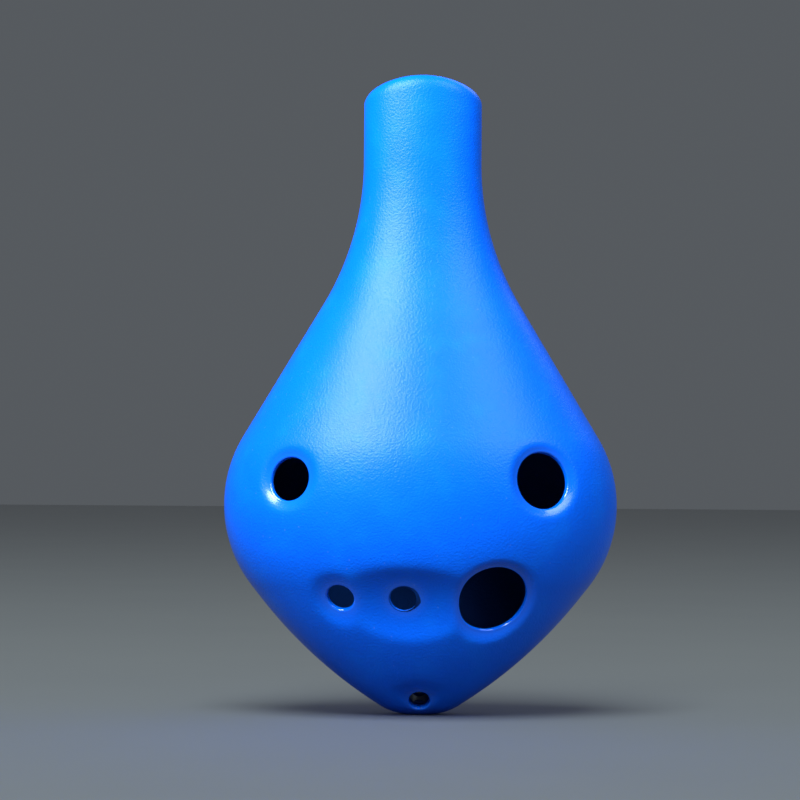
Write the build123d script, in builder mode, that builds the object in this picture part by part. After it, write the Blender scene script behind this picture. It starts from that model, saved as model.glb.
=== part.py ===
"""In-line vessel flute (ocarina), moulded in two shells with an airway block between them.

Frame: +Z runs up the long axis to the mouthpiece, -Y is the finger side, +Y the thumb side.
The origin is at the bottom of the tip, on the parting plane Y = 0.  Millimetres.
"""

import os

from build123d import *

# Overall body
length = 138.0
width = 85.0
front_depth = 27.0
back_depth = 17.0
wall = 2.2

# Outline: corner points (half width, height) of the side, each with its rounding
tip_half_width = 5.7
tip_radius = 12.0
side_half_width = 24.3
side_height = 12.2
side_radius = 100.0
belly_overhang = 6.1
belly_height = 43.0
belly_radius = 28.5
neck_foot_height = 103.0
neck_foot_radius = 60.0
neck_width = 25.4
mouth_arch_radius = 24.5
mouth_corner_radius = 2.6

# Parting lip and the play between pieces
lip_thickness = 1.0
lip_height = 1.2
fit_clearance = 0.1

# Voicing: windway, window and labium, as depths behind the parting plane
window_width = 12.0
window_length = 5.5
windway_foot = 99.0
windway_floor = 1.6
windway_gap = 1.4
labium_depth = 2.0
labium_edge = 0.4
labium_side = 2.0
labium_angle = 26.0
ramp_angle = 33.0

# Airway block, with its locating pins and its cored pockets
end_wall = 4.0
seat_margin = 2.0
pin_radius = 0.8
pin_length = 1.0
pin_inset = 10.0
pocket_width = 13.0
pocket_rib = 2.0
pocket_margin = 3.0

# Finger and thumb holes: (offset to +X, height, diameter, radius and depth of its dish)
front_holes = {
    "left_index": (-28.4, 51.0, 9.2, 16.0, 2.0),
    "right_index": (26.2, 51.0, 12.0, 18.0, 2.4),
    "left_sub": (-17.2, 25.3, 5.9, 22.0, 1.2),
    "middle_sub": (-3.8, 24.8, 5.8, 22.0, 1.2),
    "right_ring": (15.6, 25.0, 15.2, 20.0, 3.2),
}
thumb_holes = {
    "left_thumb": (14.5, 52.0, 9.5, 16.0, 2.0),
    "right_thumb": (-14.5, 52.0, 9.5, 16.0, 2.0),
}
pair_dish_radius = 22.0
pair_dish_depth = 1.2
pair_dish_stretch = 3.6

# Lanyard hole across the tip, lower at the front, with a scoop at each mouth
lanyard_diameter = 4.4
lanyard_height = 6.2
lanyard_tilt = 25.0
lanyard_boss_wall = 1.7
scoop_radius = 8.0
scoop_stretch = 1.8
front_run = 6.8
back_run = 5.6

# Cylinders and boxes long enough to pass a wall and its dish, and to pass the whole body
core_length = 6 * wall
reach = length + width
mouth_block = mouth_arch_radius / 4

FRONT = Keep.TOP
BACK = Keep.BOTTOM


def outline_face(inset):
    """The silhouette on the parting plane, drawn in by the inset all round."""
    mouth_drop = mouth_arch_radius - (mouth_arch_radius**2 - (neck_width / 2) ** 2) ** 0.5
    mouth_corner = (neck_width / 2, length - mouth_drop)
    with BuildSketch(Plane.XZ) as face:
        with BuildLine():
            FilletPolyline(
                (0, 0),
                (tip_half_width, 0),
                (side_half_width, side_height),
                (width / 2 + belly_overhang, belly_height),
                (neck_width / 2, neck_foot_height),
                mouth_corner,
                radius=(tip_radius, side_radius, belly_radius, neck_foot_radius),
            )
            TangentArc((0, length), mouth_corner, tangent=(1, 0))
            Line((0, length), (0, 0))
        make_face()
        corner = face.vertices().group_by(Axis.Y)[-2].sort_by(Axis.X)[-1]
        fillet(corner, radius=mouth_corner_radius)
        mirror(about=Plane.YZ)
        if inset:
            offset(amount=-inset, mode=Mode.REPLACE)
    return face.sketch


def half_body(inset, depth, side, domed=False):
    """One half of the body: the outline turned about Z, flattened to its depth and parted.

    Its neck ends level, or domed: cut by the arch from side to side, its edge rounded.
    """
    with BuildPart() as half:
        with BuildSketch(Plane.XZ):
            add(outline_face(inset))
            with Locations((0, length - inset)):
                Rectangle(neck_width - 2 * inset, mouth_block, align=(Align.CENTER, Align.MAX))
            with Locations((0, length / 2)):
                Rectangle(reach, reach, align=(Align.MIN, Align.CENTER), mode=Mode.INTERSECT)
        revolve(axis=Axis.Z)
        scale(by=(1, (depth - inset) / (width / 2 - inset), 1))
        if domed:
            with BuildSketch(Plane.XZ):
                with Locations((0, length - mouth_arch_radius)):
                    Circle(mouth_arch_radius)
                    Rectangle(reach, reach, align=(Align.CENTER, Align.MAX))
            extrude(amount=reach, both=True, mode=Mode.INTERSECT)
            fillet(half.edges().group_by(Axis.Z)[-1], radius=mouth_corner_radius)
        split(bisect_by=Plane.XZ, keep=side)
    return half.part


def block_of(width_x, depths, heights):
    """A box centred on X, between two depths and two heights."""
    with BuildPart(Plane.XY.offset(heights[0])) as block:
        with Locations((0, depths[0])):
            Box(
                width_x,
                depths[1] - depths[0],
                heights[1] - heights[0],
                align=(Align.CENTER, Align.MIN, Align.MIN),
            )
    return block.part


def wedge(edge_depth, angle, width_x):
    """A wedge behind a level edge at the window's foot, its face leaning back by the angle."""
    edge = (edge_depth, window_foot)
    with BuildPart() as prism:
        with BuildSketch(Plane.YZ):
            with BuildLine():
                face = PolarLine(edge, reach, -90 + angle)
                Polyline(face @ 1, (edge_depth + reach, window_foot), edge)
            make_face()
        extrude(amount=width_x / 2, both=True)
    return prism.part


def skin_plane(skin, offset_x, height, side):
    """A plane on the outer skin, square to it and facing out."""
    outward = -1 if side == FRONT else 1
    sight = Axis((offset_x, outward * reach, height), (0, -outward, 0))
    point, normal = skin.find_intersection_points(sight)[0]
    return Plane(origin=point, z_dir=normal)


def bowl(plane, radius, depth, stretch=1.0):
    """A shallow bowl, round or drawn out along X, sunk by its depth into the plane."""
    with BuildPart() as ball:
        Sphere(radius)
        scale(by=(stretch, 1, 1))
    level = Plane(origin=plane.origin, x_dir=(1, 0, 0), z_dir=plane.z_dir)
    return ball.part.moved(level.offset(radius - depth).location)


def hole_core(plane, diameter):
    """A cylinder for a finger hole, through the wall and its dish."""
    with BuildPart(plane) as core:
        Cylinder(diameter / 2, core_length)
    return core.part


def lanyard_core(radius):
    """A cylinder along the lanyard hole, right through the tip."""
    with BuildPart(lanyard_plane) as core:
        Cylinder(radius, reach)
    return core.part


def lanyard_scoops():
    """The scoops at both mouths, square to the hole, each ending its run from the parting."""
    slope = lanyard_plane.z_dir
    front_mouth = Plane(origin=lanyard_plane.origin + slope * front_run, z_dir=slope)
    back_mouth = Plane(origin=lanyard_plane.origin - slope * back_run, z_dir=-slope)
    return [bowl(mouth, scoop_radius, 0, scoop_stretch) for mouth in (front_mouth, back_mouth)]


def chamber(depth, side, top):
    """The hollow on one side of the parting plane, up to a level, round the lanyard boss."""
    with BuildPart() as hollow:
        add(half_body(wall, depth, side))
        add(block_of(reach, (-reach, reach), (top, length)), mode=Mode.SUBTRACT)
        add(lanyard_core(lanyard_diameter / 2 + lanyard_boss_wall), mode=Mode.SUBTRACT)
    return hollow.part


def lip_ring(play):
    """The parting lip: a band along the inner half of the wall, open at the neck."""
    with BuildPart() as ring:
        with BuildSketch(Plane.XZ):
            add(outline_face(wall - lip_thickness - play))
            add(outline_face(wall), mode=Mode.SUBTRACT)
            with Locations((0, window_foot + play)):
                Rectangle(reach, reach, align=(Align.CENTER, Align.MAX), mode=Mode.INTERSECT)
        extrude(amount=-lip_height - play)
    return ring.part


# Places that follow from the sizes above
lanyard_slope = Vector(0, -1, 0).rotate(Axis.X, lanyard_tilt)
lanyard_plane = Plane(origin=(0, 0, lanyard_height), z_dir=lanyard_slope)
front_scoop, back_scoop = lanyard_scoops()
window_foot = windway_foot - window_length
windway_roof = windway_floor + windway_gap
block_top = length - end_wall
seat_width = window_width + 2 * seat_margin
pin_spread = (window_width + seat_margin) / 2
ledge_plane = Plane.XZ.offset(-windway_floor)
pin_heights = (windway_foot + pin_inset, block_top - pin_inset)
pin_places = [(side * pin_spread, height) for side in (-1, 1) for height in pin_heights]
left_sub = front_holes["left_sub"]
middle_sub = front_holes["middle_sub"]
pair_centre = ((left_sub[0] + middle_sub[0]) / 2, (left_sub[1] + middle_sub[1]) / 2)

front_skin = half_body(0, front_depth, FRONT, domed=True)
back_skin = half_body(0, back_depth, BACK, domed=True)

# Front shell: the finger side, with the lip that locates the back shell
with BuildPart() as front_shell:
    add(front_skin)
    pair_plane = skin_plane(front_skin, *pair_centre, FRONT)
    add(bowl(pair_plane, pair_dish_radius, pair_dish_depth, pair_dish_stretch), mode=Mode.SUBTRACT)
    for offset_x, height, diameter, ball, depth in front_holes.values():
        hole_plane = skin_plane(front_skin, offset_x, height, FRONT)
        add(bowl(hole_plane, ball, depth), mode=Mode.SUBTRACT)
    add(front_scoop, mode=Mode.SUBTRACT)
    add(chamber(front_depth, FRONT, block_top), mode=Mode.SUBTRACT)
    for offset_x, height, diameter, ball, depth in front_holes.values():
        hole_plane = skin_plane(front_skin, offset_x, height, FRONT)
        add(hole_core(hole_plane, diameter), mode=Mode.SUBTRACT)
    add(lip_ring(0))
    add(lanyard_core(lanyard_diameter / 2), mode=Mode.SUBTRACT)
front_shell.part.label = "front_shell"

# Back shell: the thumb side, with the windway's roof, the window and the labium
with BuildPart() as back_chamber:
    add(chamber(back_depth, BACK, windway_foot))
    add(wedge(labium_depth, labium_angle, window_width + 2 * labium_side), mode=Mode.SUBTRACT)

with BuildPart() as back_shell:
    add(back_skin)
    for offset_x, height, diameter, ball, depth in thumb_holes.values():
        hole_plane = skin_plane(back_skin, offset_x, height, BACK)
        add(bowl(hole_plane, ball, depth), mode=Mode.SUBTRACT)
    add(back_scoop, mode=Mode.SUBTRACT)
    add(back_chamber.part, mode=Mode.SUBTRACT)
    for offset_x, height, diameter, ball, depth in thumb_holes.values():
        hole_plane = skin_plane(back_skin, offset_x, height, BACK)
        add(hole_core(hole_plane, diameter), mode=Mode.SUBTRACT)
    add(block_of(seat_width, (0, windway_floor), (windway_foot, block_top)), mode=Mode.SUBTRACT)
    add(
        block_of(window_width, (windway_floor, windway_roof), (windway_foot, reach)),
        mode=Mode.SUBTRACT,
    )
    add(block_of(window_width, (0, reach), (window_foot, windway_foot)), mode=Mode.SUBTRACT)
    add(wedge(labium_depth + labium_edge, ramp_angle, window_width), mode=Mode.SUBTRACT)
    add(lip_ring(fit_clearance), mode=Mode.SUBTRACT)
    with BuildSketch(ledge_plane):
        with Locations(*pin_places):
            Circle(pin_radius + fit_clearance)
    extrude(amount=-pin_length - fit_clearance, mode=Mode.SUBTRACT)
    add(lanyard_core(lanyard_diameter / 2), mode=Mode.SUBTRACT)
back_shell.part.label = "back_shell"

# Airway block: fills the neck under the windway, cored from its round side
pocket_top = block_top - fit_clearance - pocket_margin
pocket_foot = windway_foot + pocket_margin
pocket_middle = (pocket_foot + pocket_top) / 2

with BuildPart() as windway_block:
    add(half_body(wall + fit_clearance, front_depth, FRONT))
    add(
        block_of(reach, (-reach, reach), (windway_foot, block_top - fit_clearance)),
        mode=Mode.INTERSECT,
    )
    for foot, top in (
        (pocket_foot, pocket_middle - pocket_rib / 2),
        (pocket_middle + pocket_rib / 2, pocket_top),
    ):
        add(block_of(pocket_width, (-reach, 0), (foot, top)), mode=Mode.SUBTRACT)
    add(
        block_of(
            seat_width - 2 * fit_clearance,
            (0, windway_floor),
            (windway_foot, block_top - fit_clearance),
        )
    )
    with BuildSketch(ledge_plane):
        with Locations(*pin_places):
            Circle(pin_radius)
    extrude(amount=-pin_length)
windway_block.part.label = "windway_block"

os.makedirs("parts", exist_ok=True)
export_step(front_shell.part, "parts/front_shell.step")
export_step(back_shell.part, "parts/back_shell.step")
export_step(windway_block.part, "parts/windway_block.step")
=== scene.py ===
"""The moulded look of an in-line ocarina: two plastic shells round an airway block.

Lengths are named in millimetres and turned to metres when a mesh is written.
Shell surfaces are worked out in (x, out, z), where out is the depth from the parting
plane: -Y on the finger side and +Y on the thumb side.
"""

import math

import bpy
import numpy as np
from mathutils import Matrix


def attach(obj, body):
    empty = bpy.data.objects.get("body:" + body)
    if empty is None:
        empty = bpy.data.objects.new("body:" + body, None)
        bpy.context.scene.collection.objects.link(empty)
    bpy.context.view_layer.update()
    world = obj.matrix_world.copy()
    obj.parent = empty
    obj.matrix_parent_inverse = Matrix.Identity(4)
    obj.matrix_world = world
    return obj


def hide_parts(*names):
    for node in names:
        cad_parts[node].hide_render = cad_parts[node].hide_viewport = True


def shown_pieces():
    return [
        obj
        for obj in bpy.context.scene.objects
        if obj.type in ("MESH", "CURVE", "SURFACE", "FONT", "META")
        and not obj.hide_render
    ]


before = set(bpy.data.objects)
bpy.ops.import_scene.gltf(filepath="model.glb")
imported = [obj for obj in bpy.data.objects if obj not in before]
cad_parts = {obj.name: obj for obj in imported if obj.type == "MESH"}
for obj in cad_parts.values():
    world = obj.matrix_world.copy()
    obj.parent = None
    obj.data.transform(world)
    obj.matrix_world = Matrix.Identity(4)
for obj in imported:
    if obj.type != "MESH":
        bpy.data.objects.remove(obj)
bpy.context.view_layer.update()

MM = 0.001

# Body and outline, as the part is drawn: corners of the side and the rounding at each
LENGTH = 138.0
WIDTH = 85.0
FRONT_DEPTH = 27.0
BACK_DEPTH = 17.0
WALL = 2.2
NECK_WIDTH = 25.4
CORNERS = np.array([(0, 0), (5.7, 0), (24.3, 12.2), (48.6, 43.0), (12.7, 103.0), (12.7, 134.0)], float)
ROUNDINGS = (12.0, 100.0, 28.5, 60.0)
MOUTH_ARCH = 24.5
MOUTH_CORNER = 2.6
NECK_FOOT = 120.0

# Voicing
WINDOW_HALF = 6.0
WINDWAY_FOOT = 99.0
WINDOW_FOOT = 93.5
WINDWAY_FLOOR = 1.62
WINDWAY_ROOF = 3.0
LABIUM_DEPTH = 2.0
LABIUM_EDGE = 0.4
LABIUM_ANGLE = math.radians(26.0)
RAMP_ANGLE = math.radians(33.0)
RAMP_FOOT = 81.6
RAMP_LAP = 1.1
TUCK = 0.05
CHAMBER_TOP = 105.0

# Finger and thumb holes: offset, height, diameter, radius and depth of the dish round it
FRONT_HOLES = {
    "left_index": (-28.4, 51.0, 9.2, 16.0, 2.0),
    "right_index": (26.2, 51.0, 12.0, 18.0, 2.4),
    "left_sub": (-17.2, 25.3, 5.9, 22.0, 1.2),
    "middle_sub": (-3.8, 24.8, 5.8, 22.0, 1.2),
    "right_ring": (15.6, 25.0, 15.2, 20.0, 3.2),
}
THUMB_HOLES = {
    "left_thumb": (14.5, 52.0, 9.5, 16.0, 2.0),
    "right_thumb": (-14.5, 52.0, 9.5, 16.0, 2.0),
}
PAIR_DISH = (-10.5, 25.05, 22.0, 1.2, 3.6)

# Lanyard hole
LANYARD_RADIUS = 2.2
LANYARD_HEIGHT = 6.2
LANYARD_TILT = math.radians(25.0)
SCOOP_RADIUS = 8.0
SCOOP_STRETCH = 1.8
FRONT_RUN = 6.8
BACK_RUN = 5.6
BOSS_WALL = 1.7

# Mesh and edges
ROWS = 236
COLUMNS = 144
HOLE_REACH = 14.0
FINGER_RINGS = (0.35, 0.8, 1.3, 1.8)
SEAM_ROUND = 0.3
SEAM_STEP = 0.08
RIM_ROUND = 0.5
SMALL_RIM_ROUND = 0.55
SMALL_HOLE = 7.0

# Marks on the points: 1 on a rim, 0 on plain skin and -1 on the inner skin; the finish paints shade on
# marks below 0, fullest at -1
INSIDE = -1.0

# Camera, in metres and degrees
CAMERA_DISTANCE = 0.65
FRAME_WIDTH = 0.1738
CAMERA_RISE = -1.2
CAMERA_LEAN = -0.4


def unit(vector):
    """The vector over its length, row by row."""
    return vector / np.linalg.norm(vector, axis=-1, keepdims=True)


# ---------------------------------------------------------------- outline


def arc(centre, radius, start, end, count=240):
    """Points on a circle between two angles in radians."""
    angle = np.linspace(start, end, count)
    return np.stack([centre[0] + radius * np.cos(angle), centre[1] + radius * np.sin(angle)], 1)


def outline_points():
    """Straight runs joined by tangent arcs, then the mouth edge's arc and a level end."""
    pieces = [CORNERS[:1]]
    for before, corner, after, radius in zip(CORNERS, CORNERS[1:], CORNERS[2:], ROUNDINGS):
        back = unit(before - corner)
        ahead = unit(after - corner)
        half = 0.5 * math.acos(float(back @ ahead))
        centre = corner + unit(back + ahead) * radius / math.sin(half)
        start = corner + back * radius / math.tan(half) - centre
        end = corner + ahead * radius / math.tan(half) - centre
        turn = math.pi - 2 * half
        share = np.linspace(0, 1, 240)[:, None]
        swing = np.sin((1 - share) * turn) * start + np.sin(share * turn) * end
        pieces.append(centre + swing / math.sin(turn))
    inner = NECK_WIDTH / 2 - MOUTH_CORNER
    pieces.append(arc((inner, LENGTH - MOUTH_CORNER), MOUTH_CORNER, 0, math.pi / 2))
    pieces.append([(0.0, LENGTH)])
    return np.vstack(pieces)


def arch_drop(x):
    """How far the mouth's arch has fallen at an offset: R - sqrt(R^2 - x^2)."""
    return MOUTH_ARCH - np.sqrt(MOUTH_ARCH**2 - np.minimum(x**2, NECK_WIDTH**2 / 4))


OUTLINE = outline_points()
RUN = np.concatenate([[0], np.cumsum(np.linalg.norm(np.diff(OUTLINE, axis=0), axis=1))])
REACH = RUN[-1]
FINE_RUNS = np.linspace(0, REACH, 8000)


def on_outline(run):
    """Half width, height and outward normal of the outline at a distance along it."""
    low = np.clip(run - 0.02, 0, REACH)
    high = np.clip(run + 0.02, 0, REACH)
    width, height = (np.interp(run, RUN, OUTLINE[:, k]) for k in (0, 1))
    along_w, along_z = (
        np.interp(high, RUN, OUTLINE[:, k]) - np.interp(low, RUN, OUTLINE[:, k]) for k in (0, 1)
    )
    size = np.hypot(along_w, along_z)
    return width, height, along_z / size, -along_w / size


class Skin:
    """One side's outer or inner surface, as a function of (run, angle).

    x = w sin(angle), out = e + (q w - e) cos(angle), z = height: w and the height are the
    outline's at that run, drawn in by the inset, q is the flattening and e the edge's rounding.
    Above a lid's height the surface closes level.
    """

    def __init__(self, depth, inset, edge=0.0, lid=None):
        self.inset = inset
        self.ratio = (depth - inset) / (WIDTH / 2 - inset)
        self.edge = edge
        self.lid = lid
        if lid is not None:
            width, height, out_w, out_z = on_outline(FINE_RUNS)
            first = np.argmax(height - inset * out_z > lid)
            self.lid_run = FINE_RUNS[first]
            self.lid_width = (width - inset * out_w)[first]

    def frame(self, run):
        """Half width, height, flattening and edge of the section at a run."""
        width, height, out_w, out_z = on_outline(run)
        drawn_w = np.maximum(width - self.inset * out_w, 0)
        drawn_z = height - self.inset * out_z
        ratio = np.full_like(drawn_w, self.ratio)
        if self.lid is not None:
            closed = run >= self.lid_run
            drawn_w = np.where(closed, self.lid_width * np.minimum(1, width / 11.2), drawn_w)
            drawn_z = np.where(closed, self.lid, drawn_z)
            ratio = np.where(closed, ratio + 0.05 * np.clip((run - self.lid_run) / 8, 0, 1), ratio)
        return drawn_w, drawn_z, ratio, np.minimum(self.edge, 0.3 * ratio * drawn_w)

    def at(self, run, angle):
        """The point (x, out, z) at a run and an angle."""
        width, height, ratio, edge = self.frame(run)
        out = edge + (ratio * width - edge) * np.cos(angle)
        across = width * np.sin(angle)
        lift = np.clip((height - NECK_FOOT) / (LENGTH - NECK_FOOT), 0, 1) if self.lid is None else 0.0
        return np.stack(np.broadcast_arrays(across, out, height - lift * arch_drop(across)), -1)

    def normal(self, run, angle):
        """Outward unit normal, from the two slopes of the surface."""
        across = self.at(run, angle + 1e-3) - self.at(run, angle - 1e-3)
        along = self.at(run + 1e-2, angle) - self.at(run - 1e-2, angle)
        facing = unit(np.cross(along, across))
        return facing * np.sign(facing[..., 1:2])

    def find(self, x, height):
        """Run and angle of the point at an offset and a height."""
        width, level, _, _ = self.frame(FINE_RUNS)
        run = float(np.interp(height, level, FINE_RUNS))
        return np.array([run, math.asin(x / float(np.interp(run, FINE_RUNS, width)))])

    def foot(self, point, axis, start):
        """Run and angle where a line meets the surface, by Newton steps from a start."""
        guess = np.array(start, float)
        nudges = np.eye(2) * 1e-4
        for _ in range(20):
            miss = across_axis(self.at(*guess) - point, axis)
            slopes = [(across_axis(self.at(*(guess + n)) - point, axis) - miss) / 1e-4 for n in nudges]
            guess = guess - np.linalg.lstsq(np.stack(slopes, 1), miss, rcond=None)[0]
        return guess


def across_axis(vector, axis):
    """The part of a vector square to an axis."""
    return vector - (vector @ axis)[..., None] * axis


# ---------------------------------------------------------------- openings


class RoundHole:
    """A hole of one radius about an axis: distance is how far a point lies outside it."""

    def __init__(self, point, axis, radius):
        self.point = np.asarray(point, float)
        self.axis = unit(np.asarray(axis, float))
        self.radius = radius

    def distance(self, points):
        """Length of the part across the axis, less the radius."""
        return np.linalg.norm(across_axis(points - self.point, self.axis), axis=-1) - self.radius

    def away(self, points):
        """Unit direction from the axis to each point."""
        return unit(across_axis(points - self.point, self.axis))


class SlotHole:
    """A rounded rectangle about an axis, with half sides along two directions."""

    def __init__(self, point, axis, sides, half, corner):
        self.point = np.asarray(point, float)
        self.axis = np.asarray(axis, float)
        self.sides = np.asarray(sides, float)
        self.half = np.asarray(half, float)
        self.corner = corner

    def past(self, points):
        """Offsets along the two sides, and how far each is past the corner's centre."""
        flat = (points - self.point) @ self.sides.T
        return flat, np.abs(flat) - (self.half - self.corner)

    def distance(self, points):
        """Signed distance to the rounded rectangle, in the plane across the axis."""
        _, past = self.past(points)
        return np.linalg.norm(np.maximum(past, 0), axis=-1) + np.minimum(past.max(-1), 0) - self.corner

    def away(self, points):
        """Unit direction square to the nearest side, or from the corner's centre."""
        flat, past = self.past(points)
        at_corner = (past > 0).all(-1, keepdims=True)
        straight = np.eye(2)[np.argmax(past, -1)]
        lean = np.where(at_corner, np.maximum(past, 1e-9), straight) * np.where(flat < 0, -1, 1)
        return unit(lean) @ self.sides


class Bowl:
    """A ball, drawn out along x, that sinks a dish into the skin along its axis."""

    def __init__(self, point, axis, depth, radius, stretch=1.0, soft=0.35):
        self.axis = unit(np.asarray(axis, float))
        self.centre = np.asarray(point, float) + self.axis * (radius - depth)
        self.radius = radius
        self.squeeze = np.array([1 / stretch, 1, 1])
        self.soft = soft

    def sink(self, points):
        """Points moved down the axis by t, eased to (t + sqrt(t^2 + s^2)) / 2.

        t is the larger root of |S (p - c - t a)| = R, with S the squeeze along x.
        """
        way = self.axis * self.squeeze
        start = (points - self.centre) * self.squeeze
        lead = start @ way
        size = way @ way
        inside = lead**2 - size * ((start**2).sum(-1) - self.radius**2)
        drop = np.where(inside > 0, (lead + np.sqrt(np.maximum(inside, 0))) / size, -9.0)
        fade = np.clip((drop + 5) / 3, 0, 1)
        eased = fade * 0.5 * (drop + np.sqrt(drop**2 + self.soft**2))
        return points - eased[..., None] * self.axis


class Opening:
    """A hole through both skins, the circles meshed round it and how it ends inside."""

    def __init__(self, name, hole, start, rings, margin, rim=RIM_ROUND, cheek=0.0, floor=None, deep=INSIDE):
        self.name = name
        self.hole = hole
        self.start = start
        self.rings = rings
        self.margin = margin
        self.rim = rim
        self.cheek = cheek
        self.floor = floor
        # deep is the mark at a cheek's bottom: how much painted shade the tunnel takes there.
        self.deep = deep


# ---------------------------------------------------------------- meshes


class Surface:
    """Points and quads of one piece, gathered as whole arrays."""

    def __init__(self):
        self.points = []
        self.marks = []
        self.quads = []
        self.count = 0

    def add(self, points, mark=0.0):
        """Adds an array of points and returns their numbers in the same layout."""
        flat = points.reshape(-1, 3)
        self.points.append(flat)
        self.marks.append(np.broadcast_to(mark, points.shape[:-1]).reshape(-1).astype(float))
        numbers = np.arange(len(flat)).reshape(points.shape[:-1]) + self.count
        self.count += len(flat)
        return numbers

    def bridge(self, rows, keep=None, closed=False, flip=False):
        """Quads between successive rows of point numbers, except where keep is false."""
        rows = np.asarray(rows)
        if closed:
            rows = np.concatenate([rows, rows[:, :1]], 1)
        quads = np.stack([rows[:-1, :-1], rows[:-1, 1:], rows[1:, 1:], rows[1:, :-1]], -1)
        quads = (quads if keep is None else quads[keep]).reshape(-1, 4)
        self.quads.append(quads[:, ::-1] if flip else quads)

    def to_object(self, name, side):
        """A smooth mesh object in metres, with (x, out, z) taken to (x, side out, z)."""
        points = np.vstack(self.points)
        marks = np.concatenate(self.marks)
        keys = np.round(points / 1e-3).astype(np.int64)
        _, first, same = np.unique(keys, axis=0, return_index=True, return_inverse=True)
        quads = same.reshape(-1)[np.vstack(self.quads)]
        if side > 0:
            quads = quads[:, ::-1]
        doubled = quads == np.roll(quads, -1, axis=1)
        whole = quads[doubled.sum(1) == 0]
        single = doubled.sum(1) == 1
        triangles = quads[single][~doubled[single]].reshape(-1, 3)
        mesh = bpy.data.meshes.new(name)
        mesh.from_pydata(points[first] * (MM, side * MM, MM), [], whole.tolist() + triangles.tolist())
        mesh.polygons.foreach_set("use_smooth", np.ones(len(mesh.polygons), bool))
        rim = mesh.attributes.new("rim", "FLOAT", "POINT")
        rim.data.foreach_set("value", marks[first])
        mesh.update()
        piece = bpy.data.objects.new(name, mesh)
        bpy.context.collection.objects.link(piece)
        return piece


def along_paths(skin, start, ends, share):
    """Points at shares of the straight paths, in run and angle, from a start to the ends."""
    path = start + share[..., None] * (ends - start)
    return skin.at(path[..., 0], path[..., 1])


def shares_at(skin, hole, start, ends, distances):
    """Shares of the paths at which the hole is at each distance, by halving."""
    low = np.zeros((len(distances), len(ends)))
    high = np.ones_like(low)
    for _ in range(36):
        share = 0.5 * (low + high)
        short = hole.distance(along_paths(skin, start, ends, share)) < np.array(distances)[:, None]
        low = np.where(short, share, low)
        high = np.where(short, high, share)
    return share


def block_loop(rows, columns):
    """Row and column numbers round a block of cells, anticlockwise from its low corner."""
    across = np.arange(columns[0], columns[1])
    up = np.arange(rows[0], rows[1])
    row = [np.full_like(across, rows[0]), up, np.full_like(across, rows[1]), up[::-1] + 1]
    column = [across, np.full_like(up, columns[1]), across[::-1] + 1, np.full_like(up, columns[0])]
    return np.concatenate(row), np.concatenate(column)


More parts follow.
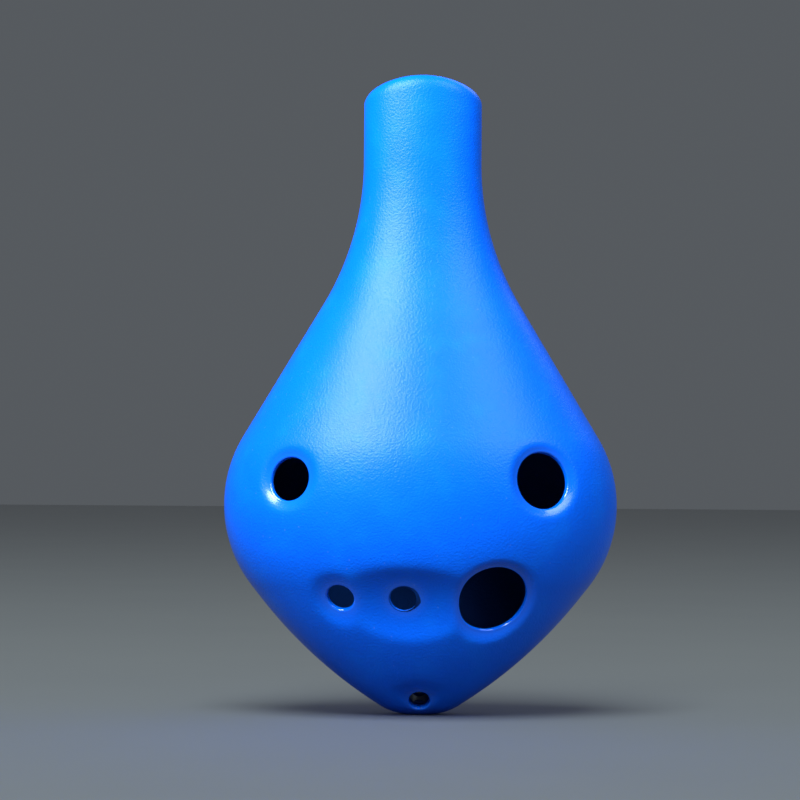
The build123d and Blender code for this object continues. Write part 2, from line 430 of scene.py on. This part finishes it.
def half_shell(depth, bowls, boss, openings, growth=0.0, lid=None):
    """One shell: outer skin, rounded parting edge, inner skin, and openings through both.

    An opening takes a block of cells out of both skins. Circles at set distances from it
    fill the block outside, a quarter-round of the rim's radius turns into the tunnel, and
    the tunnel comes out on the inner skin, or on a cheek round its foot. The inner skin
    is pushed in by the boss, a bowl under the lanyard's scoop.
    """
    outer = Skin(depth, -growth, edge=SEAM_ROUND)
    inner = Skin(depth, WALL, lid=lid)
    run = np.linspace(0, REACH, ROWS + 1)
    angle = np.linspace(-math.pi / 2, math.pi / 2, COLUMNS + 1)
    runs, angles = np.meshgrid(run, angle, indexing="ij")
    surface = Surface()

    def sunk(points):
        for bowl in bowls:
            points = bowl.sink(points)
        return points

    plain = outer.at(runs, angles)
    keep = np.ones((ROWS, COLUMNS), bool)
    outer_numbers = surface.add(sunk(plain))
    # The inner skin is marked -1, for painted shade.
    inner_numbers = surface.add(boss.sink(inner.at(runs, angles)), INSIDE)

    for opening in openings:
        hole = opening.hole
        along_axis = np.abs((plain - hole.point) @ hole.axis)
        near = (hole.distance(plain) < opening.margin) & (along_axis < HOLE_REACH)
        rows = np.flatnonzero(near.any(1))
        columns = np.flatnonzero(near.any(0))
        rows = (max(rows[0] - 1, 1), min(rows[-1] + 1, ROWS - 1))
        columns = (max(columns[0] - 1, 1), min(columns[-1] + 1, COLUMNS - 1))
        assert keep[rows[0]:rows[1], columns[0]:columns[1]].all(), opening.name
        keep[rows[0]:rows[1], columns[0]:columns[1]] = False
        row, column = block_loop(rows, columns)
        ends = np.stack([run[row], angle[column]], -1)

        start = outer.foot(hole.point, hole.axis, opening.start)
        levels = [opening.rim + ring for ring in opening.rings[::-1]] + [opening.rim]
        share = shares_at(outer, hole, start, ends, levels)
        blend = np.linspace(0, 1, 7)[1:-1, None]
        share = np.concatenate([1 + (share[:1] - 1) * blend, share])
        flat = along_paths(outer, start, ends, share)
        circles = sunk(flat)
        loops = [outer_numbers[row, column]]
        loops.extend(surface.add(circles, np.exp(-(hole.distance(flat) - opening.rim) / 1.2)))

        mouth = circles[-1]
        away = hole.away(mouth)
        for turn in np.linspace(0, math.pi / 2, 7)[1:]:
            draw = away * math.sin(turn) + hole.axis * (1 - math.cos(turn))
            lip = mouth - opening.rim * draw
            loops.append(surface.add(lip, 1.0))

        inner_start = inner.foot(hole.point, hole.axis, opening.start)
        inside = opening.cheek if opening.cheek else 0.2
        inner_share = shares_at(inner, hole, inner_start, ends, [inside])[0]
        landing = boss.sink(along_paths(inner, inner_start, ends, inner_share))
        # Below the lip, marks paint shade into the tunnel: the cheek bottom takes the opening's deep mark,
        # a foot -0.6, and the inner skin full shade.
        if opening.cheek:
            bottom = lip - hole.axis * np.maximum(opening.floor(lip), 0.05)[:, None]
            loops.append(surface.add(0.7 * lip + 0.3 * bottom, opening.deep))
            loops.append(surface.add(bottom, opening.deep))
            loops.append(surface.add(bottom + away * opening.cheek, INSIDE))
        else:
            foot = landing - hole.away(landing) * inside + hole.axis * inside
            loops.append(surface.add(0.5 * (lip + foot), 0.0))
            loops.append(surface.add(foot, -0.6))
        loops.append(surface.add(landing, INSIDE))
        for part in (0.33, 0.66):
            spread = inner_share + (1 - inner_share) * part
            around = boss.sink(along_paths(inner, inner_start, ends, spread))
            loops.append(surface.add(around, INSIDE))
        loops.append(inner_numbers[row, column])
        surface.bridge(loops, closed=True)

    surface.bridge(outer_numbers, keep)
    surface.bridge(inner_numbers, keep, flip=True)

    width, _, _, edge = outer.frame(run)
    _, _, out_w, out_z = on_outline(run)
    for column, hand in ((0, -1), (COLUMNS, 1)):
        strips = [outer_numbers[:, column]]
        for turn in np.linspace(0, math.pi / 2, 5)[1:]:
            draw = edge * (1 - math.cos(turn))
            place = outer.at(run, hand * math.pi / 2)
            place[:, 0] = hand * np.maximum(width - draw * out_w, 0)
            place[:, 1] = edge * (1 - math.sin(turn))
            place[:, 2] -= draw * out_z
            strips.append(surface.add(place))
        strips.append(inner_numbers[:, column])
        surface.bridge(strips, flip=hand > 0)
    return surface


def on_skin(skin, x, height):
    """Place and outward direction on a skin at an offset and a height, as a hole is drilled."""
    start = skin.find(x, height)
    return start, skin.at(*start), skin.normal(*start)


def finger_openings(skin, holes):
    """Openings and their dishes, each square to the skin."""
    openings = []
    bowls = []
    for name, (x, height, diameter, ball, depth) in holes.items():
        start, point, axis = on_skin(skin, x, height)
        hole = RoundHole(point, axis, diameter / 2)
        small = diameter < SMALL_HOLE
        rim = SMALL_RIM_ROUND if small else RIM_ROUND
        openings.append(Opening(name, hole, start, FINGER_RINGS, rim + FINGER_RINGS[-1] + 0.6, rim))
        bowls.append(Bowl(point, axis, depth, ball, soft=0.35 if small else 0.5))
    return openings, bowls


def lanyard_opening(skin, hand, run):
    """The lanyard hole's opening on one side, the scoop at its mouth and the boss under it."""
    axis = np.array([0, math.cos(LANYARD_TILT), -hand * math.sin(LANYARD_TILT)])
    middle = np.array([0, 0, LANYARD_HEIGHT])
    hole = RoundHole(middle, axis, LANYARD_RADIUS)
    start = skin.find(0.0, LANYARD_HEIGHT - hand * 2.5)

    def to_parting(lip):
        return lip[:, 1] / axis[1]

    opening = Opening("lanyard", hole, start, [0.4], 1.2, rim=0.4, cheek=0.3, floor=to_parting)
    scoop = Bowl(middle + axis * run, axis, 0, SCOOP_RADIUS, SCOOP_STRETCH, soft=0.5)
    boss = Bowl(middle + axis * (run - BOSS_WALL), axis, 0, SCOOP_RADIUS, SCOOP_STRETCH, soft=0.5)
    return opening, scoop, boss


def window_floor(lip):
    """Depth from the window's lip to the windway's roof, its floor or the labium's underside."""
    height = lip[:, 2]
    under = LABIUM_DEPTH + (WINDOW_FOOT - height) * math.tan(LABIUM_ANGLE)
    low = np.where(height > WINDOW_FOOT, WINDWAY_FLOOR, under)
    return lip[:, 1] - np.where(height > WINDWAY_FOOT - 0.5, WINDWAY_ROOF, low)


def labium_wedge(surface, skin):
    """The labium and its ramp, across the window.

    With t = window foot - z, the ramp lies at edge + t tan(33 deg), held under the skin
    q sqrt(w^2 - x^2), and the underside at depth + t tan(26 deg).
    """
    rows = np.linspace(RAMP_FOOT - RAMP_LAP, WINDOW_FOOT, 30)
    columns = np.linspace(-WINDOW_HALF - TUCK, WINDOW_HALF + TUCK, 25)
    height, across = np.meshgrid(rows, columns, indexing="ij")
    fall = WINDOW_FOOT - height
    width, level, _, _ = skin.frame(FINE_RUNS)
    under_skin = skin.ratio * np.sqrt(np.interp(height, level, width) ** 2 - across**2) - TUCK
    ramp = np.minimum(LABIUM_DEPTH + LABIUM_EDGE + fall * math.tan(RAMP_ANGLE), under_skin)
    under = LABIUM_DEPTH + fall * math.tan(LABIUM_ANGLE)
    top = surface.add(np.stack([across, ramp, height], -1))
    # The underside is marked -0.5, for half painted shade.
    bottom = surface.add(np.stack([across, np.minimum(under, ramp - 0.2), height], -1), -0.5)
    surface.bridge(np.concatenate([top, bottom[::-1], top[:1]]))
    surface.bridge(np.stack([bottom[:, 0], top[:, 0]], 1))
    surface.bridge(np.stack([top[:, -1], bottom[:, -1]], 1))


# ---------------------------------------------------------------- finishes


class Value:
    """A socket that carries a number: arithmetic on it adds Math nodes."""

    def __init__(self, finish, socket):
        self.finish = finish
        self.socket = socket

    def sum_with(self, operation, first, second):
        return self.finish.node("ShaderNodeMath", {"operation": operation}, {0: first, 1: second})

    def __add__(self, other):
        return self.sum_with("ADD", self, other)

    def __sub__(self, other):
        return self.sum_with("SUBTRACT", self, other)

    def __rsub__(self, other):
        return self.sum_with("SUBTRACT", other, self)

    def __mul__(self, other):
        return self.sum_with("MULTIPLY", self, other)

    __radd__ = __add__
    __rmul__ = __mul__


class Finish:
    """A material being made: node() adds any node, and expressions on values add the maths."""

    def __init__(self, name):
        self.material = bpy.data.materials.new(name)
        self.material.use_nodes = True
        self.tree = self.material.node_tree
        self.tree.nodes.clear()

    def node(self, kind, settings, sockets, output=0):
        """One node of a type, its settings set first, then its sockets' values or links."""
        node = self.tree.nodes.new(kind)
        for name, value in settings.items():
            setattr(node, name, value)
        for key, value in sockets.items():
            if isinstance(value, Value):
                self.tree.links.new(value.socket, node.inputs[key])
            else:
                node.inputs[key].default_value = value
        return Value(self, node.outputs[output]) if node.outputs else None

    def noise(self, place, scale, detail=2.0, roughness=0.5):
        """Noise from 0 to 1 at a number of waves to the metre."""
        sockets = {"Vector": place, "Scale": scale, "Detail": detail, "Roughness": roughness}
        return self.node("ShaderNodeTexNoise", {"noise_dimensions": "3D"}, sockets)

    def ramp(self, value, low, high):
        """0 below low, 1 above high, smooth between."""
        sockets = {"Value": value, "From Min": low, "From Max": high}
        return self.node("ShaderNodeMapRange", {"interpolation_type": "SMOOTHSTEP"}, sockets)

    def mix(self, share, first, second):
        """A colour between two, by a share."""
        return self.node("ShaderNodeMix", {"data_type": "RGBA"}, {0: share, 6: first, 7: second}, 2)


def moulded_plastic(name, colour, deep, pale, grain, wear=1.0):
    """Vivid satin plastic: moulding grain, flow clouds, hairlines, dust, glossy rims, painted shade inside.
    """
    finish = Finish(name)
    place = finish.node("ShaderNodeTexCoord", {}, {}, 3)
    mark = finish.node("ShaderNodeAttribute", {"attribute_name": "rim"}, {}, 2)
    rim = finish.ramp(mark, 0.0, 1.0)
    # Painted shade: points marked below zero, on the inner skin and down the tunnels, are darkened by this
    # share.
    inside = finish.ramp(0.0 - mark, 0.1, 0.9)

    clouds = finish.noise(place, 38.0, 3.0)
    blotches = finish.noise(place, 140.0, 2.0)
    peel = finish.noise(place, 2800.0, 2.0, 0.55)
    cells = {"Vector": place, "Scale": 2000.0, "Smoothness": 0.6}
    pebble = finish.node("ShaderNodeTexVoronoi", {"feature": "SMOOTH_F1"}, cells)
    streaks = finish.node("ShaderNodeMapping", {}, {"Vector": place, "Scale": (1.0, 1.0, 0.05)})
    hairline = finish.ramp(finish.noise(streaks, 2100.0, 1.0), 0.70, 0.76)
    patches = finish.ramp(finish.noise(place, 55.0, 1.0), 0.50, 0.62)
    dust = finish.ramp(finish.noise(place, 1900.0, 0.0), 0.84, 0.88)

    scratched = hairline * patches
    tint = finish.mix(finish.ramp(clouds, 0.35, 0.70), deep, colour)
    tint = finish.mix(finish.ramp(blotches, 0.45, 0.8) * 0.25, tint, pale)
    tint = finish.mix(scratched * (0.10 * wear), tint, pale)
    tint = finish.mix(dust * (0.08 * wear), tint, (0.55, 0.62, 0.72, 1))
    # Painted shade: the marked inner surfaces take a near-black navy in place of the blue.
    tint = finish.mix(inside, tint, (0.0, 0.03, 0.17, 1))

    satin = 0.26 + blotches * 0.07 + peel * 0.06 + scratched * (0.08 * wear)
    roughness = satin - rim * 0.12
    height = (peel * 0.7 + pebble * 0.5) * (1 - rim * 0.75) - scratched * (0.35 * wear)
    normal = finish.node("ShaderNodeBump", {}, {"Strength": grain, "Distance": 0.00012, "Height": height})
    skin = finish.node(
        "ShaderNodeBsdfPrincipled",
        {},
        {
            "Base Color": tint,
            "Roughness": roughness,
            "IOR": 1.5,
            "Specular IOR Level": 0.17,
            "Coat Weight": rim * 1.0,
            "Coat Roughness": 0.14,
            "Normal": normal,
        },
    )
    finish.node("ShaderNodeOutputMaterial", {}, {"Surface": skin})
    return finish.material


def dress(piece, material):
    """Every face of a piece takes one material."""
    piece.data.materials.clear()
    piece.data.materials.append(material)
    piece.data.polygons.foreach_set("material_index", np.zeros(len(piece.data.polygons), np.int32))


blue = moulded_plastic(
    "blue_satin_plastic",
    colour=(0.0, 0.130, 0.90, 1),
    deep=(0.0, 0.120, 0.86, 1),
    pale=(0.0, 0.19, 0.97, 1),
    grain=0.6,
)

# ---------------------------------------------------------------- the shells

drilled_front = Skin(FRONT_DEPTH, 0)
front_openings, front_bowls = finger_openings(drilled_front, FRONT_HOLES)
pair_x, pair_height, pair_ball, pair_depth, pair_stretch = PAIR_DISH
_, pair_point, pair_axis = on_skin(drilled_front, pair_x, pair_height)
front_bowls.insert(0, Bowl(pair_point, pair_axis, pair_depth, pair_ball, pair_stretch, soft=0.6))
front_lanyard, front_scoop, front_boss = lanyard_opening(drilled_front, 1, FRONT_RUN)
front_surface = half_shell(
    FRONT_DEPTH, front_bowls + [front_scoop], front_boss, front_openings + [front_lanyard]
)
front_piece = front_surface.to_object("finger_side_shell", -1)
dress(front_piece, blue)
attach(front_piece, "root")
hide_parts("front_shell")

drilled_back = Skin(BACK_DEPTH, 0)
back_openings, back_bowls = finger_openings(drilled_back, THUMB_HOLES)
back_lanyard, back_scoop, back_boss = lanyard_opening(drilled_back, -1, BACK_RUN)
window_middle = (RAMP_FOOT + WINDWAY_FOOT) / 2
window_half = (WINDOW_HALF, (WINDWAY_FOOT - RAMP_FOOT) / 2)
window_hole = SlotHole((0, 0, window_middle), (0, 1, 0), [(1, 0, 0), (0, 0, 1)], window_half, 0.3)
window_start = drilled_back.find(0.0, window_middle)
window = Opening(
    "window", window_hole, window_start, [0.3, 0.8], 1.6, rim=0.35, cheek=1.5, floor=window_floor, deep=0.0
)
mouth_middle = (WINDWAY_FLOOR + WINDWAY_ROOF) / 2
mouth_half = (WINDOW_HALF, (WINDWAY_ROOF - WINDWAY_FLOOR) / 2)
mouth_hole = SlotHole((0, mouth_middle, LENGTH), (0, 0, 1), [(1, 0, 0), (0, 1, 0)], mouth_half, 0.15)
mouth_start = np.array([REACH - mouth_middle / drilled_back.ratio, 0.0])
mouth = Opening("mouth", mouth_hole, mouth_start, [0.25], 0.8, rim=0.2)
back_surface = half_shell(
    BACK_DEPTH,
    back_bowls + [back_scoop],
    back_boss,
    back_openings + [back_lanyard, window, mouth],
    growth=SEAM_STEP,
    lid=CHAMBER_TOP,
)
labium_wedge(back_surface, drilled_back)
back_piece = back_surface.to_object("thumb_side_shell", 1)
dress(back_piece, blue)
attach(back_piece, "root")
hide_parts("back_shell")

dress(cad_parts["windway_block"], blue)

# ---------------------------------------------------------------- stage, light and camera

SIGHT = np.array([-0.0045, 0.0, 0.0680])
SOFT_WHITE = (0.80, 0.95, 1.0)


def floor_sheet():
    """A broad level sheet at the object's foot."""
    side = 3.0
    corners = [(-side, -side, 0), (side, -side, 0), (side, side, 0), (-side, side, 0)]
    mesh = bpy.data.meshes.new("floor")
    mesh.from_pydata(corners, [], [(0, 1, 2, 3)])
    sheet = bpy.data.objects.new("floor", mesh)
    bpy.context.collection.objects.link(sheet)
    finish = Finish("pale_floor")
    place = finish.node("ShaderNodeTexCoord", {}, {}, 3)
    tone = finish.mix(finish.noise(place, 14.0, 3.0), (0.60, 0.60, 0.60, 1), (0.64, 0.64, 0.63, 1))
    cloth = finish.node("ShaderNodeBsdfPrincipled", {}, {"Base Color": tone, "Roughness": 0.8})
    finish.node("ShaderNodeOutputMaterial", {}, {"Surface": cloth})
    mesh.materials.append(finish.material)
    return sheet


def aimed(thing, azimuth, elevation, distance, target):
    """Places a light or camera at an azimuth and elevation in degrees, looking at the target."""
    turn = math.radians(azimuth)
    rise = math.radians(elevation)
    way = np.array([math.sin(turn) * math.cos(rise), -math.cos(turn) * math.cos(rise), math.sin(rise)])
    thing.location = target + way * distance
    thing.rotation_euler = (math.pi / 2 - rise, 0.0, turn)
    bpy.context.collection.objects.link(thing)


def soft_box(name, azimuth, elevation, distance, width, height, power, on=None):
    """A rectangular soft light, on one set of pieces only if that is given."""
    light = bpy.data.lights.new(name, "AREA")
    light.shape = "RECTANGLE"
    light.size = width
    light.size_y = height
    light.energy = power
    light.color = SOFT_WHITE
    lamp = bpy.data.objects.new(name, light)
    aimed(lamp, azimuth, elevation, distance, SIGHT)
    lamp.light_linking.receiver_collection = on
    lamp.visible_camera = False


instrument = bpy.data.collections.new("instrument")
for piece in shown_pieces():
    instrument.objects.link(piece)
ground = bpy.data.collections.new("ground")
ground.objects.link(floor_sheet())
soft_box("left_soft_box", -34, 41, 0.25, 0.15, 0.15, 1.85, instrument)
soft_box("right_soft_box", 45, 41, 0.80, 0.45, 0.45, 4.0, instrument)
soft_box("rear_soft_box", 140, 45, 0.80, 0.5, 0.5, 1.3, instrument)
soft_box("floor_light", -15, 65, 1.4, 0.8, 0.8, 6.0, ground)

world = bpy.data.worlds.new("pale_room")
world.use_nodes = True
world.node_tree.nodes["Background"].inputs["Color"].default_value = (0.78, 0.86, 0.95, 1)
world.node_tree.nodes["Background"].inputs["Strength"].default_value = 0.12
bpy.context.scene.world = world
bpy.context.scene.view_settings.view_transform = "Standard"

camera_data = bpy.data.cameras.new("camera")
camera_data.sensor_width = 36.0
camera_data.lens = camera_data.sensor_width * CAMERA_DISTANCE / FRAME_WIDTH
camera = bpy.data.objects.new("camera", camera_data)
aimed(camera, 0.0, CAMERA_RISE, CAMERA_DISTANCE, SIGHT)
camera.rotation_euler[1] = math.radians(CAMERA_LEAN)
bpy.context.scene.camera = camera
